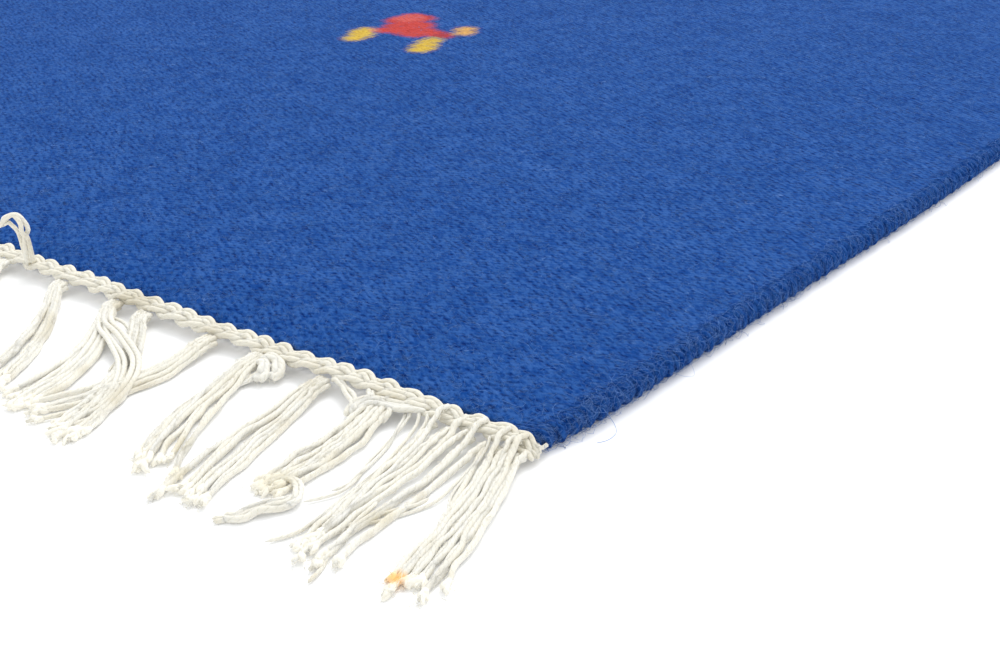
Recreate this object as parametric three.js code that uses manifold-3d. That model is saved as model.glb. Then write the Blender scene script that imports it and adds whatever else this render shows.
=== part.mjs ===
// A small flat-woven wool rug that lies flat: one thick cloth with a corded selvedge down each side, and at each end
// a plaited heading of warp ends with a fringe of loose cotton bundles lying on the floor.
// Millimetres, +Z up. The origin is on the floor under the middle of the rug, and the warp runs along Y.

import * as THREE from "three";
import { mergeVertices } from "three/addons/utils/BufferGeometryUtils.js";
import Module from "manifold-3d";

// The cloth
const WIDTH = 600;
const LENGTH = 900;
const THICKNESS = 4.6;
const END_ROUNDING = 0.7; // how far the top drops at the two woven ends
const TOP_UNEVENNESS = 0.2;
const EDGE_WANDER = 0.8; // how far a selvedge strays to either side of straight
const CLOTH_STEP = 30; // between the sections of the cloth, away from its ends
const CORNER_PULL = 1.4; // how far the first picks are drawn in at each corner

// The selvedge, a bundle of outer warps that the weft turns round
const CORD_WIDTH = 4.4;
const CORD_HEIGHT = 5.2;
const TROUGH_DEPTH = 0.35;

// The plaited heading
const GAP = 0.3; // between the cloth and the heading
const HEADING_WIDTH = 4.8;
const HEADING_CLEARANCE = 0.9; // the plait bridges this far above the floor between bundles
const HEADING_BACK = 4.4; // height of the plait between its bumps
const HEADING_END = 299.4; // half its length
const BUMP_COUNT = 114;
const BUMP_RISE = 0.5;

// The fringe bundles, each of a few locks
const LOCKS = 3;
const LOCK_WIDTH = { root: 1.5, knee: 1.7, middle: 2.0, tip: 2.4 };
const LOCK_HEIGHT = { root: 1.5, knee: 1.6, middle: 1.5, tip: 1.1 };
const ROOT_DEPTH = 1.8; // how far a lock runs into the heading
const FLOOR_MET = 5.5; // how far from the heading a lock meets the floor
const BUNDLE_PITCH = 15.7;
const PLAIN_BUNDLES = 29;
const FIRST_PLAIN = 157;

// The bundles next to a corner, in order from it. Across the rug, root, middle and tip are distances from the
// corner towards the middle of the end, so a negative one lies past the selvedge. gather and spread are the
// distances from lock to lock at the roots and at the tips, and reach is how far the tips lie from the heading.
const CORNER_BUNDLES = [
  { root: 3, middle: -2, tip: -7.5, reach: 40.5, gather: 1.9, spread: 3.8 },
  { root: 14, middle: 13, tip: 10.5, reach: 43, gather: 5, spread: 4.2 },
  { root: 32, middle: 29.8, tip: 27, reach: 40, gather: 1.9, spread: 3.2 },
  { root: 47, middle: 44, tip: 38.8, reach: 41, gather: 1.9, spread: 3.8 },
  { root: 63, middle: 58.5, tip: 49, reach: 37.5, gather: 1.9, spread: 3.4 },
  { root: 77, middle: 77.2, tip: 78, reach: 9, gather: 1.9, spread: 1.9 },
  { root: 96, middle: 79.5, tip: 71.5, reach: 38, gather: 1.9, spread: 3.8 },
  { root: 105, middle: 92.5, tip: 88, reach: 35, gather: 1.9, spread: 3.2 },
  { root: 122, middle: 108, tip: 99.5, reach: 31, gather: 1.9, spread: 3.2 },
  { root: 142, middle: 128.5, tip: 117, reach: 35, gather: 1.9, spread: 3.4 },
];

// What stands up from the heading: a wrapped knot, a short folded stub and a bent loop of yarn
const KNOT = { inset: 31.2, out: 2.2, height: 2.5, radii: [3.0, 2.5, 2.2] };
const STUB = { inset: 61, width: 2.6, height: 1.4 };
const STUB_PATH = [
  { side: 0, out: -1.6, rise: 2.0 },
  { side: 3.0, out: 1.4, rise: 2.6 },
  { side: 5.6, out: 4.6, rise: 1.4 },
];
const LOOP = { inset: 133.6, width: 2.4, height: 2.0 };
const LOOP_PATH = [
  { side: 0, out: -2.2, rise: 2.8 },
  { side: 1.0, out: -2.4, rise: 8.0 },
  { side: 0.6, out: -2.2, rise: 11.4 },
  { side: -1.0, out: -1.6, rise: 13.3 },
  { side: -3.0, out: -0.2, rise: 11.2 },
];

const HALF_WIDTH = WIDTH / 2;
const HALF_LENGTH = LENGTH / 2;
const HEADING_EDGE = HALF_LENGTH + GAP + HEADING_WIDTH;

const wool = new THREE.MeshStandardMaterial({ color: 0x2d559b, roughness: 0.95, metalness: 0 });
const cotton = new THREE.MeshStandardMaterial({ color: 0xebe6d7, roughness: 0.9, metalness: 0 });

const wasm = await Module();
wasm.setup();

// A closed surface through rings of points, each ring with the same number of points, with a flat cap at both
// ends. flatten drops the coordinate that runs along the rings.
function skin(rings, flatten) {
  const count = rings[0].length;
  const positions = rings.flat().flatMap((point) => point.toArray());
  const faces = [];
  for (let ring = 0; ring + 1 < rings.length; ring++) {
    for (let i = 0; i < count; i++) {
      const next = (i + 1) % count;
      const a = ring * count + i;
      const b = ring * count + next;
      faces.push([a, b, b + count], [a, b + count, a + count]);
    }
  }
  const capped = [0, rings.length - 1];
  capped.forEach((ring) => {
    const outline = rings[ring].map(flatten);
    for (const [a, b, c] of THREE.ShapeUtils.triangulateShape(outline, [])) {
      const face = [a, b, c].map((i) => i + ring * count);
      faces.push(turned(face, ring === 0 ? 1 : -1, outline, [a, b, c]));
    }
  });
  const geometry = new THREE.BufferGeometry();
  geometry.setAttribute("position", new THREE.Float32BufferAttribute(positions, 3));
  geometry.setIndex(faces.flat());
  return outward(geometry);
}

// A cap's triangle, wound so that it closes the walls: against the outline's own turn on the first ring, and
// with it on the last.
function turned(face, sign, outline, corners) {
  const cornerArea = THREE.ShapeUtils.area(corners.map((i) => outline[i]));
  const outlineArea = THREE.ShapeUtils.area(outline);
  const along = Math.sign(cornerArea) === Math.sign(outlineArea);
  return along === (sign > 0) ? face.reverse() : face;
}

// The same geometry with its faces pointing out, told by the sign of the volume under them.
function outward(geometry) {
  const position = geometry.getAttribute("position");
  const index = geometry.getIndex().array;
  const [a, b, c] = [new THREE.Vector3(), new THREE.Vector3(), new THREE.Vector3()];
  let volume = 0;
  for (let i = 0; i < index.length; i += 3) {
    a.fromBufferAttribute(position, index[i]);
    b.fromBufferAttribute(position, index[i + 1]);
    c.fromBufferAttribute(position, index[i + 2]);
    volume += a.dot(b.cross(c));
  }
  if (volume < 0) {
    for (let i = 0; i < index.length; i += 3) {
      [index[i + 1], index[i + 2]] = [index[i + 2], index[i + 1]];
    }
  }
  return geometry;
}

// A geometry as a solid that can be joined to others.
function solidOf(geometry) {
  const plain = geometry.clone();
  plain.deleteAttribute("normal");
  plain.deleteAttribute("uv");
  const merged = mergeVertices(plain);
  return new wasm.Manifold(
    new wasm.Mesh({
      numProp: 3,
      vertProperties: merged.getAttribute("position").array,
      triVerts: new Uint32Array(merged.getIndex().array),
    }),
  );
}

// A solid as a geometry again.
function geometryOf(solid) {
  const mesh = solid.getMesh();
  const geometry = new THREE.BufferGeometry();
  geometry.setAttribute("position", new THREE.BufferAttribute(mesh.vertProperties, 3));
  geometry.setIndex(new THREE.BufferAttribute(mesh.triVerts, 1));
  geometry.computeVertexNormals();
  return geometry;
}

// Half the width of the cloth at a place along it, on one side: straight, with a slow wander that dies out at
// the ends and a small pull at each corner.
function selvedgeAt(y, side) {
  const fade = 1 - (y / HALF_LENGTH) ** 4;
  const wander = Math.sin(y / 62 + side) * 0.6 + Math.sin(y / 23 + 2 * side) * 0.4;
  const pull = Math.exp(-(HALF_LENGTH - Math.abs(y)) / 9);
  return HALF_WIDTH + EDGE_WANDER * wander * fade - CORNER_PULL * pull;
}

// How far the top of the cloth lies above or below its even height.
function unevennessAt(x, y) {
  return TOP_UNEVENNESS * Math.sin(x / 41 + Math.sin(y / 67)) * Math.cos(y / 53);
}

// The section of the cloth across its width: a flat underside, a rounded cord at each selvedge, a shallow trough
// beside it and the even field between.
function clothSection(y, drop) {
  const points = [];
  const cordSteps = 6;
  for (const side of [1, -1]) {
    const edge = selvedgeAt(y, side);
    const centre = edge - CORD_WIDTH / 2;
    const half = [];
    for (let i = 0; i <= cordSteps; i++) {
      const angle = -Math.PI / 2 + (Math.PI * i) / cordSteps;
      const x = centre + (CORD_WIDTH / 2) * Math.cos(angle);
      const z = (CORD_HEIGHT / 2) * (1 + Math.sin(angle));
      half.push([x, Math.max(0, z - drop * (z / CORD_HEIGHT))]);
    }
    half.push([edge - CORD_WIDTH, THICKNESS - TROUGH_DEPTH - drop]);
    half.push([edge - CORD_WIDTH * 1.8, THICKNESS - drop]);
    for (const share of [0.8, 0.55, 0.3]) {
      const x = HALF_WIDTH * share;
      half.push([x, THICKNESS + unevennessAt(side * x, y) - drop]);
    }
    const placed = half.map(([x, z]) => new THREE.Vector3(side * x, y, z));
    points.push(...(side > 0 ? placed : placed.reverse()));
  }
  return points;
}

// The cloth: its section carried along the warp, with the top edge rounded at both woven ends.
function cloth() {
  const places = [];
  for (const near of [0, 0.8, 3, 8, 16]) places.push(near);
  for (let near = CLOTH_STEP; near <= HALF_LENGTH; near += CLOTH_STEP) places.push(near);
  const stations = [...places.map((p) => p - HALF_LENGTH), ...places.map((p) => HALF_LENGTH - p)];
  stations.sort((a, b) => a - b);
  const rings = stations
    .filter((y, i) => i === 0 || y - stations[i - 1] > 0.1)
    .map((y) => clothSection(y, Math.abs(y) === HALF_LENGTH ? END_ROUNDING : 0));
  return skin(rings, (p) => new THREE.Vector2(p.x, p.z));
}

// The section of the plaited heading, in which bump goes from 0 to 1: the bumps beside the cloth stand up where
// it is 1, and those at the outer edge where it is 0.
function headingSection(x, bump, drop) {
  const inner = -HALF_LENGTH - GAP;
  const outer = -HEADING_EDGE;
  const rise = BUMP_RISE * bump;
  const fall = BUMP_RISE * (1 - bump);
  const outline = [
    [inner - BUMP_RISE, HEADING_CLEARANCE],
    [inner - BUMP_RISE * (1 - bump), HEADING_BACK - 1.0 + rise],
    [inner - 1.2, HEADING_BACK + rise],
    [outer + 1.4, HEADING_BACK - 0.5 + fall],
    [outer + BUMP_RISE * bump, HEADING_BACK - 1.6 + fall],
    [outer + 0.6, HEADING_CLEARANCE],
  ];
  return outline.map(([y, z]) => new THREE.Vector3(x, y, z - drop * (z - HEADING_CLEARANCE)));
}

// The heading: its section carried across the end, one bump after another, curling down at its two ends.
function heading() {
  const rings = [];
  const step = HEADING_END / BUMP_COUNT;
  for (let i = 0; i <= 2 * BUMP_COUNT; i++) {
    const fromEnd = Math.min(i, 2 * BUMP_COUNT - i);
    const drop = fromEnd === 0 ? 0.45 : fromEnd === 1 ? 0.15 : 0;
    rings.push(headingSection(-HEADING_END + i * step, i % 2, drop));
  }
  return skin(rings, (p) => new THREE.Vector2(p.y, p.z));
}

// One lock of three sides with its flat side down, through places along it. Each place has a point, the height
// of the lock's underside there, and its width and height. sideways is the direction of its width.
function lock(places, sideways) {
  const rings = places.map(({ point, under, width, height }) => {
    const left = point.clone().addScaledVector(sideways, -width / 2);
    const right = point.clone().addScaledVector(sideways, width / 2);
    const crest = point.clone();
    left.z = under;
    right.z = under;
    crest.z = under + height;
    return [left, right, crest];
  });
  return skin(rings, (p) => new THREE.Vector2(p.dot(sideways), p.z));
}

// The locks of a bundle: from inside the heading over its edge, down to the floor and level along it to the tips.
function bundle({ root, middle, tip, reach, gather, spread }) {
  const stages = [
    { out: -ROOT_DEPTH, under: 1.9, at: 0, size: "root" },
    { out: FLOOR_MET, under: 0, at: 0.12, size: "knee" },
    { out: (FLOOR_MET + reach) / 2, under: 0, at: 0.55, size: "middle" },
    { out: reach, under: 0, at: 1, size: "tip" },
  ];
  const solids = [];
  for (let n = 0; n < LOCKS; n++) {
    const place = n - (LOCKS - 1) / 2;
    const route = stages.map(({ out, under, at, size }) => {
      const t = Math.max(0, out / reach);
      const bend = (1 - t) * (1 - 2 * t) * root + 4 * t * (1 - t) * middle + t * (2 * t - 1) * tip;
      const apart = place * (gather * (1 - at) + spread * at);
      return {
        point: new THREE.Vector3(HALF_WIDTH - bend + apart, -HEADING_EDGE - out, 0),
        under,
        width: LOCK_WIDTH[size],
        height: LOCK_HEIGHT[size],
      };
    });
    solids.push(solidOf(lock(route, new THREE.Vector3(1, 0, 0))));
  }
  return solids;
}

// The bundles further along, evenly spaced, each leaning and fanning out a little differently.
function plainBundles() {
  return Array.from({ length: PLAIN_BUNDLES }, (_, i) => {
    const root = FIRST_PLAIN + BUNDLE_PITCH * i;
    const lean = 8 + 3 * Math.sin(1.7 * i);
    return {
      root,
      middle: root - 0.45 * lean + Math.sin(2.3 * i),
      tip: root - lean,
      reach: 40 + 2.5 * Math.sin(3.1 * i),
      gather: 1.9,
      spread: 3.4 + 0.4 * Math.sin(1.1 * i),
    };
  });
}

// The wrapped knot round the roots of one bundle.
function knot() {
  const ball = new THREE.SphereGeometry(1, 8, 6);
  ball.scale(...KNOT.radii);
  ball.translate(HALF_WIDTH - KNOT.inset, -HEADING_EDGE - KNOT.out, KNOT.height);
  return solidOf(ball);
}

// A short piece of yarn of four sides that leaves the heading and ends in the air, along a path in which side
// runs towards the corner, out away from the cloth and rise up from the floor.
function tail({ inset, width, height }, path) {
  const centre = path.map(
    ({ side, out, rise }) => new THREE.Vector3(HALF_WIDTH - inset + side, -HEADING_EDGE - out, rise),
  );
  const rings = centre.map((point, i) => {
    const ahead = centre[Math.min(i + 1, centre.length - 1)].clone();
    const along = ahead.sub(centre[Math.max(i - 1, 0)]).normalize();
    const across = new THREE.Vector3(0, 1, 0).cross(along).normalize();
    const over = along.clone().cross(across);
    const taper = i === centre.length - 1 ? 0.6 : 1;
    return [
      [-1, -1],
      [1, -1],
      [1, 1],
      [-1, 1],
    ].map(([u, v]) =>
      point
        .clone()
        .addScaledVector(across, (u * taper * height) / 2)
        .addScaledVector(over, (v * taper * width) / 2),
    );
  });
  const first = centre[1].clone().sub(centre[0]).normalize();
  const flatX = new THREE.Vector3(0, 1, 0).cross(first).normalize();
  const flatY = first.clone().cross(flatX);
  return solidOf(skin(rings, (p) => new THREE.Vector2(p.dot(flatX), p.dot(flatY))));
}

// The heading and its fringe as one solid, fused at the roots, for the end at negative Y.
function fringe() {
  const rows = [...CORNER_BUNDLES, ...plainBundles()];
  const pieces = [...rows.flatMap(bundle), knot(), tail(STUB, STUB_PATH), tail(LOOP, LOOP_PATH)];
  return pieces.reduce((joined, piece) => joined.add(piece), solidOf(heading()));
}

const rug = new THREE.Group();

const clothMesh = new THREE.Mesh(cloth(), wool);
clothMesh.name = "kilim_cloth";
clothMesh.geometry.computeVertexNormals();
rug.add(clothMesh);

// The far end is the near one turned half round.
const fringeGeometry = geometryOf(fringe());
for (const [name, turn] of [
  ["fringe_front", 0],
  ["fringe_back", Math.PI],
]) {
  const mesh = new THREE.Mesh(fringeGeometry, cotton);
  mesh.name = name;
  mesh.rotation.z = turn;
  rug.add(mesh);
}

export default rug;
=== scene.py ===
"""Looks of a small flat-woven wool rug with a plaited and fringed heading at each end, built on its frame.

The origin is on the floor under the middle of the rug, the warp runs along Y and +Z is up. The classes hold
their sizes in millimetres, as a weaver would give them, and Surface.to_object turns them into metres.
"""

import logging
import math
from dataclasses import dataclass
from enum import Enum
from typing import Any

import bpy
import numpy as np
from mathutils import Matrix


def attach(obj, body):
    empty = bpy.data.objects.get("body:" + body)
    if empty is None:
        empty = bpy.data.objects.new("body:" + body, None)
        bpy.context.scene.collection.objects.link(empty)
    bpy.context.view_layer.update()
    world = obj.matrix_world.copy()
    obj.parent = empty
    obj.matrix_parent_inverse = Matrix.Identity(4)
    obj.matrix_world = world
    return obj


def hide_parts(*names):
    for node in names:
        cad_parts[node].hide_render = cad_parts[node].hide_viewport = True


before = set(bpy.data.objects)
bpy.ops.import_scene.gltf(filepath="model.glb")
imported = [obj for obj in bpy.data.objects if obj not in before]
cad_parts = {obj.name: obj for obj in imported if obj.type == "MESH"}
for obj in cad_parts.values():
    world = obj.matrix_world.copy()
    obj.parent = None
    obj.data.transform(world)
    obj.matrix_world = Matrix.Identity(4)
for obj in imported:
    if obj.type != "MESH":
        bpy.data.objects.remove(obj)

Array = np.ndarray
Chance = np.random.Generator
Colour = tuple[float, float, float, float]
Point = tuple[float, float, float]
Socket = bpy.types.NodeSocket
MM = 0.001
TURN = 2 * math.pi
RIB = 1.75  # millimetres from one warp rib of the cloth to the next
NOTES = logging.getLogger("rug")


# Surfaces


@dataclass
class Surface:
    """A mesh in the making, in millimetres.

    points has one row a point, and each entry of faces one row a face, with its point numbers. spots has the
    yarn coordinates of the faces' corners: once round the yarn is 1, and the other is the way along it. tones
    has one value a point, from 0 to 1, for the dye's unevenness.
    """

    points: Array
    faces: list[Array]
    spots: list[Array]
    tones: Array

    def to_object(self, name: str) -> bpy.types.Object:
        """Makes the mesh and its object. A face with more than four corners is shaded flat.

        Args:
            name: the piece's name.

        Returns:
            The object, at the origin.
        """
        sizes = np.concatenate([np.full(len(f), f.shape[1]) for f in self.faces])
        mesh = bpy.data.meshes.new(name)
        mesh.vertices.add(len(self.points))
        mesh.vertices.foreach_set("co", (self.points * MM).astype(np.float32).ravel())
        mesh.loops.add(int(sizes.sum()))
        corners = np.concatenate([f.ravel() for f in self.faces])
        mesh.loops.foreach_set("vertex_index", corners.astype(np.int32))
        mesh.polygons.add(len(sizes))
        mesh.polygons.foreach_set("loop_start", (np.cumsum(sizes) - sizes).astype(np.int32))
        mesh.polygons.foreach_set("use_smooth", sizes <= 4)
        spots = np.concatenate([s.reshape(-1, 2) for s in self.spots])
        mesh.uv_layers.new(name="Yarn").uv.foreach_set("vector", spots.astype(np.float32).ravel())
        mesh.attributes.new("tone", "FLOAT", "POINT").data.foreach_set("value", self.tones.astype(np.float32))
        mesh.update()
        return added(name, mesh)


def added(name: str, data: Any) -> bpy.types.Object:
    """A new object for a mesh, lamp or camera, put into the scene.

    Args:
        name: the object's name.
        data: the mesh, lamp or camera.

    Returns:
        The object.
    """
    made = bpy.data.objects.new(name, data)
    bpy.context.scene.collection.objects.link(made)
    return made


def joined(parts: list[Surface]) -> Surface:
    """Several surfaces as one, each still closed by itself.

    Args:
        parts: the surfaces.

    Returns:
        One surface with all their points and faces.
    """
    starts = np.cumsum([0] + [len(p.points) for p in parts])
    return Surface(
        np.concatenate([p.points for p in parts]),
        [face + start for p, start in zip(parts, starts) for face in p.faces],
        [spot for p in parts for spot in p.spots],
        np.concatenate([p.tones for p in parts]),
    )


def turned_half(form: Surface) -> Surface:
    """The surface turned half round the vertical through the origin."""
    return Surface(form.points * np.array([-1.0, -1.0, 1.0]), form.faces, form.spots, form.tones)


def unit(rows: Array) -> Array:
    """Directions made 1 long."""
    return rows / np.maximum(np.linalg.norm(rows, axis=-1, keepdims=True), 1e-9)


def squared(rows: Array, ahead: Array) -> Array:
    """Directions without the part that lies along ahead, made 1 long."""
    return unit(rows - ahead * (rows * ahead).sum(-1, keepdims=True))


def stacked(x: Array, y: Array, z: Array) -> Array:
    """Places from their three coordinates."""
    return np.stack([x, y, z], axis=-1)


def steps_of(steps: int, end: float = 1.0) -> Array:
    """Even steps from 0 to end, as path, step and coordinate."""
    return np.linspace(0, end, steps)[None, :, None]


def walls(rows: int, ring: int) -> Array:
    """The faces between rings of points that follow one another.

    Args:
        rows: how many rings.
        ring: the points of a ring.

    Returns:
        The faces, each with its four point numbers.
    """
    row, col = np.meshgrid(np.arange(rows - 1) * ring, np.arange(ring), indexing="ij")
    after = (col + 1) % ring
    return np.stack([row + col, row + after, row + ring + after, row + ring + col], axis=-1).reshape(-1, 4)


def tubes(paths: Array, radii: Any, sides: int, tones: Array) -> Surface:
    """Round closed tubes along many paths at once.

    A ring of points is carried along each path. Its first direction starts square to the path, and from point
    to point loses only the part that lies along the path, so that the ring doesn't spin.

    Args:
        paths: the paths, as tube, step and coordinate.
        radii: the radius, for all or for each tube and step.
        sides: the points of a ring.
        tones: one tone a tube.

    Returns:
        The tubes with both ends closed.
    """
    count, steps, _ = paths.shape
    radii = np.broadcast_to(radii, (count, steps))
    ahead = unit(np.gradient(paths, axis=1))
    steep = np.abs(ahead[:, 0, 2:]) > 0.85
    first = np.cross(ahead[:, 0], np.where(steep, [[1.0, 0.0, 0.0]], [[0.0, 0.0, 1.0]]))
    firsts = np.empty_like(paths)
    for step in range(steps):
        first = squared(first, ahead[:, step])
        firsts[:, step] = first
    turn = np.linspace(0, TURN, sides, endpoint=False)[:, None]
    ring = firsts[:, :, None] * np.cos(turn) + np.cross(ahead, firsts)[:, :, None] * np.sin(turn)
    rings = (paths[:, :, None] + radii[:, :, None, None] * ring).reshape(count, -1, 3)

    block, last = steps * sides + 2, (steps - 1) * sides
    here = np.arange(sides)
    there = (here + 1) % sides
    caps = [[np.full(sides, block - 2), there, here], [np.full(sides, block - 1), last + here, last + there]]
    caps = np.concatenate([np.stack(cap, axis=-1) for cap in caps])
    shift = (np.arange(count) * block)[:, None, None]

    gone = np.cumsum(np.linalg.norm(np.diff(paths, axis=1), axis=-1), axis=1)
    gone = np.concatenate([np.zeros((count, 1)), gone], axis=1)
    step, side = np.divmod(np.arange(last)[:, None], sides)
    around = np.broadcast_to((side + np.array([0, 1, 1, 0])) / sides, (count, last, 4))
    spots = np.stack([around, gone[:, step + np.array([0, 0, 1, 1])]], axis=-1)
    cap_gone = np.repeat(gone[:, [0, -1]], 3 * sides, axis=1)
    cap_spots = np.stack([np.full_like(cap_gone, 0.5), cap_gone], axis=-1)
    return Surface(
        np.concatenate([rings, paths[:, :1], paths[:, -1:]], axis=1).reshape(-1, 3),
        [(walls(steps, sides) + shift).reshape(-1, 4), (caps + shift).reshape(-1, 3)],
        [spots.reshape(-1, 4, 2), cap_spots.reshape(-1, 3, 2)],
        np.repeat(tones, block),
    )


def smooth_paths(controls: Array, steps: int) -> Array:
    """Smooth paths through a few points each.

    Between two control points the path is the cubic whose slope at each of them is half the way from its one
    neighbour to the other.

    Args:
        controls: the points, as path, point and coordinate.
        steps: how many points each smooth path gets.

    Returns:
        The paths, as path, step and coordinate.
    """
    before = 2 * controls[:, :1] - controls[:, 1:2]
    beyond = 2 * controls[:, -1:] - controls[:, -2:-1]
    padded = np.concatenate([before, controls, beyond], axis=1)
    where = np.linspace(0, controls.shape[1] - 1 - 1e-9, steps)
    whole = where.astype(int)
    part = (where - whole)[None, :, None]
    a, b, c, d = (padded[:, whole + i] for i in range(4))
    square, cube = (2 * a - 5 * b + 4 * c - d) * part**2, (3 * b - a - 3 * c + d) * part**3
    return 0.5 * (2 * b + (c - a) * part + square + cube)


def drawn_back(points: Array) -> Array:
    """Yarns' points, moved back to a cloth's sunk near end, in step with their height above the floor.

    The standing loop's upper part, above 9 mm, stays where it is.
    """
    raised = np.maximum(points[..., 2:] - 0.5, 0) * np.clip((9 - points[..., 2:]) / 4, 0, 1)
    return points + raised * np.array([-0.495, 0.642, -0.37])


def kept_above(paths: Array, lowest: Any) -> Array:
    """The paths with every point at least so high."""
    paths[..., 2] = np.maximum(paths[..., 2], lowest)
    return paths


def wander(rng: Chance, count: int, steps: int, waves: tuple[float, ...]) -> Array:
    """Slow sideways straying for many paths: a sum of sine waves with chance phases, about 1 at its largest.

    Args:
        rng: the seeded source of chance.
        count: how many paths.
        steps: the steps of each.
        waves: how many waves of each kind a path's length holds.

    Returns:
        The straying, as path, step and coordinate.
    """
    way = steps_of(steps, TURN)
    return sum(np.sin(number * way + rng.uniform(0, TURN, (count, 1, 3))) / len(waves) for number in waves)


# Finishes


class Bench:
    """A node tree with short calls that add nodes and join them. A value is a socket or a constant."""

    def __init__(self, tree: bpy.types.NodeTree) -> None:
        """Takes the tree that the nodes go into."""
        self.tree = tree

    def node(self, kind: str, given: dict[Any, Any] | None = None, **settings: Any) -> bpy.types.Node:
        """Adds a node.

        Args:
            kind: the node's type.
            given: values for its inputs, by name or number.
            settings: values for its own settings.

        Returns:
            The node.
        """
        made = self.tree.nodes.new(kind)
        for name, value in settings.items():
            setattr(made, name, value)
        for name, value in (given or {}).items():
            if isinstance(value, Socket):
                self.tree.links.new(value, made.inputs[name])
            else:
                made.inputs[name].default_value = value
        return made

    def math(self, operation: str, *values: Any) -> Socket:
        """One step of arithmetic on up to three values."""
        return self.node("ShaderNodeMath", dict(enumerate(values)), operation=operation).outputs[0]

    def plus(self, one: Any, other: Any) -> Socket:
        """The sum of two values."""
        return self.math("ADD", one, other)

    def minus(self, one: Any, other: Any) -> Socket:
        """The first value less the second."""
        return self.math("SUBTRACT", one, other)

    def times(self, one: Any, other: Any) -> Socket:
        """The product of two values."""
        return self.math("MULTIPLY", one, other)

    def vector(self, operation: str, *values: Any) -> Socket:
        """One step of arithmetic on up to three vectors."""
        return self.node("ShaderNodeVectorMath", dict(enumerate(values)), operation=operation).outputs[0]

    def scaled(self, place: Any, size: float) -> Socket:
        """The vector made longer by a factor."""
        return self.node("ShaderNodeVectorMath", {0: place, "Scale": size}, operation="SCALE").outputs[0]

    def away(self, place: Any, spot: Point) -> Socket:
        """How far the place is from a spot."""
        return self.node("ShaderNodeVectorMath", {0: place, 1: spot}, operation="DISTANCE").outputs["Value"]

    def blend(self, share: Any, one: Any, other: Any, kind: str = "MIX") -> Socket:
        """A colour from two, by the share of the second."""
        given = {0: share, 6: one, 7: other}
        return self.node("ShaderNodeMix", given, data_type="RGBA", blend_type=kind).outputs[2]

    def noise(self, place: Any, scale: float, detail: float = 1.0, rough: float = 0.5) -> Socket:
        """Soft noise from 0 to 1, with its grain one over scale millimetres wide."""
        given = {"Vector": place, "Scale": scale, "Detail": detail, "Roughness": rough}
        return self.node("ShaderNodeTexNoise", given).outputs["Fac"]

    def strayed(self, place: Any, scale: float, reach: float) -> Socket:
        """The place moved about, differently from spot to spot.

        Args:
            place: the place in millimetres.
            scale: one over the width of the waves.
            reach: twice the furthest that a place moves.

        Returns:
            The moved place.
        """
        given = {"Vector": place, "Scale": scale, "Detail": 1.0}
        cloud = self.node("ShaderNodeTexNoise", given).outputs["Color"]
        return self.vector("ADD", place, self.scaled(self.vector("SUBTRACT", cloud, (0.5, 0.5, 0.5)), reach))

    def step(self, value: Any, low: float, high: float) -> Socket:
        """0 below low, 1 above high and smooth between them; high may be the lower of the two."""
        given = {"Value": value, "From Min": low, "From Max": high}
        return self.node("ShaderNodeMapRange", given, interpolation_type="SMOOTHSTEP").outputs[0]

    def use(self, effect: "Effect", **given: Any) -> bpy.types.Node:
        """Adds a shared effect with values for its inputs."""
        return self.node("ShaderNodeGroup", given, node_tree=effect.tree)


class Effect(Bench):
    """A node group with named inputs and outputs, for an effect that more than one material shows."""

    def __init__(self, name: str, inputs: dict[str, str], outputs: dict[str, str]) -> None:
        """Makes the empty group.

        Args:
            name: the effect's name.
            inputs: the kind of each input, by name.
            outputs: the kind of each output, by name.
        """
        super().__init__(bpy.data.node_groups.new(name, "ShaderNodeTree"))
        for way, sockets in (("INPUT", inputs), ("OUTPUT", outputs)):
            for label, kind in sockets.items():
                self.tree.interface.new_socket(label, in_out=way, socket_type=f"NodeSocket{kind}")
        self.given = self.node("NodeGroupInput").outputs
        self.out = self.node("NodeGroupOutput")

    def put(self, name: str, value: Socket) -> None:
        """Joins a value to one of the group's outputs."""
        self.tree.links.new(value, self.out.inputs[name])


class Finish(Bench):
    """A material in the making, with the place in millimetres and the main shader at hand."""

    def __init__(self, name: str, **constants: Any) -> None:
        """Makes the material.

        Args:
            name: the material's name.
            constants: values for the shader's inputs, by their names with _ for a space.
        """
        self.material = bpy.data.materials.new(name)
        self.material.use_nodes = True
        super().__init__(self.material.node_tree)
        self.shader = self.tree.nodes["Principled BSDF"]
        for label, value in constants.items():
            self.shader.inputs[label.replace("_", " ")].default_value = value
        self.place = self.scaled(self.node("ShaderNodeTexCoord").outputs["Object"], 1 / MM)

    def tone(self) -> Socket:
        """The yarn's own tone."""
        return self.node("ShaderNodeAttribute", attribute_name="tone").outputs["Fac"]

    def ridge(self, twist: Effect, plies: float, turn: float) -> Socket:
        """The height of the yarn's plies."""
        yarn = self.node("ShaderNodeUVMap", uv_map="Yarn").outputs[0]
        return self.use(twist, Yarn=yarn, Plies=plies, Turn=turn).outputs["Ridge"]

    def done(self, colour: Socket, height: Socket | None = None, relief: float = 0.0) -> bpy.types.Material:
        """Joins the colour and the height to the shader.

        Args:
            colour: the base colour.
            height: the height of the surface, or None for a smooth one.
            relief: the millimetres that a height of 1 stands for.

        Returns:
            The material.
        """
        self.tree.links.new(colour, self.shader.inputs["Base Color"])
        if height is not None:
            given = {"Height": height, "Strength": 1.0, "Distance": relief * MM}
            self.tree.links.new(self.node("ShaderNodeBump", given).outputs[0], self.shader.inputs["Normal"])
        return self.material


class Dye(Enum):
    """The dyes of the small woven figures, in linear light."""

    YELLOW = (0.60, 0.42, 0.06, 1.0)
    RED = (0.50, 0.060, 0.050, 1.0)
    MADDER = (0.36, 0.045, 0.055, 1.0)
    ORANGE = (0.56, 0.10, 0.085, 1.0)
    PEACH = (0.60, 0.25, 0.14, 1.0)
    STRAW = (0.62, 0.36, 0.11, 1.0)


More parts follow.
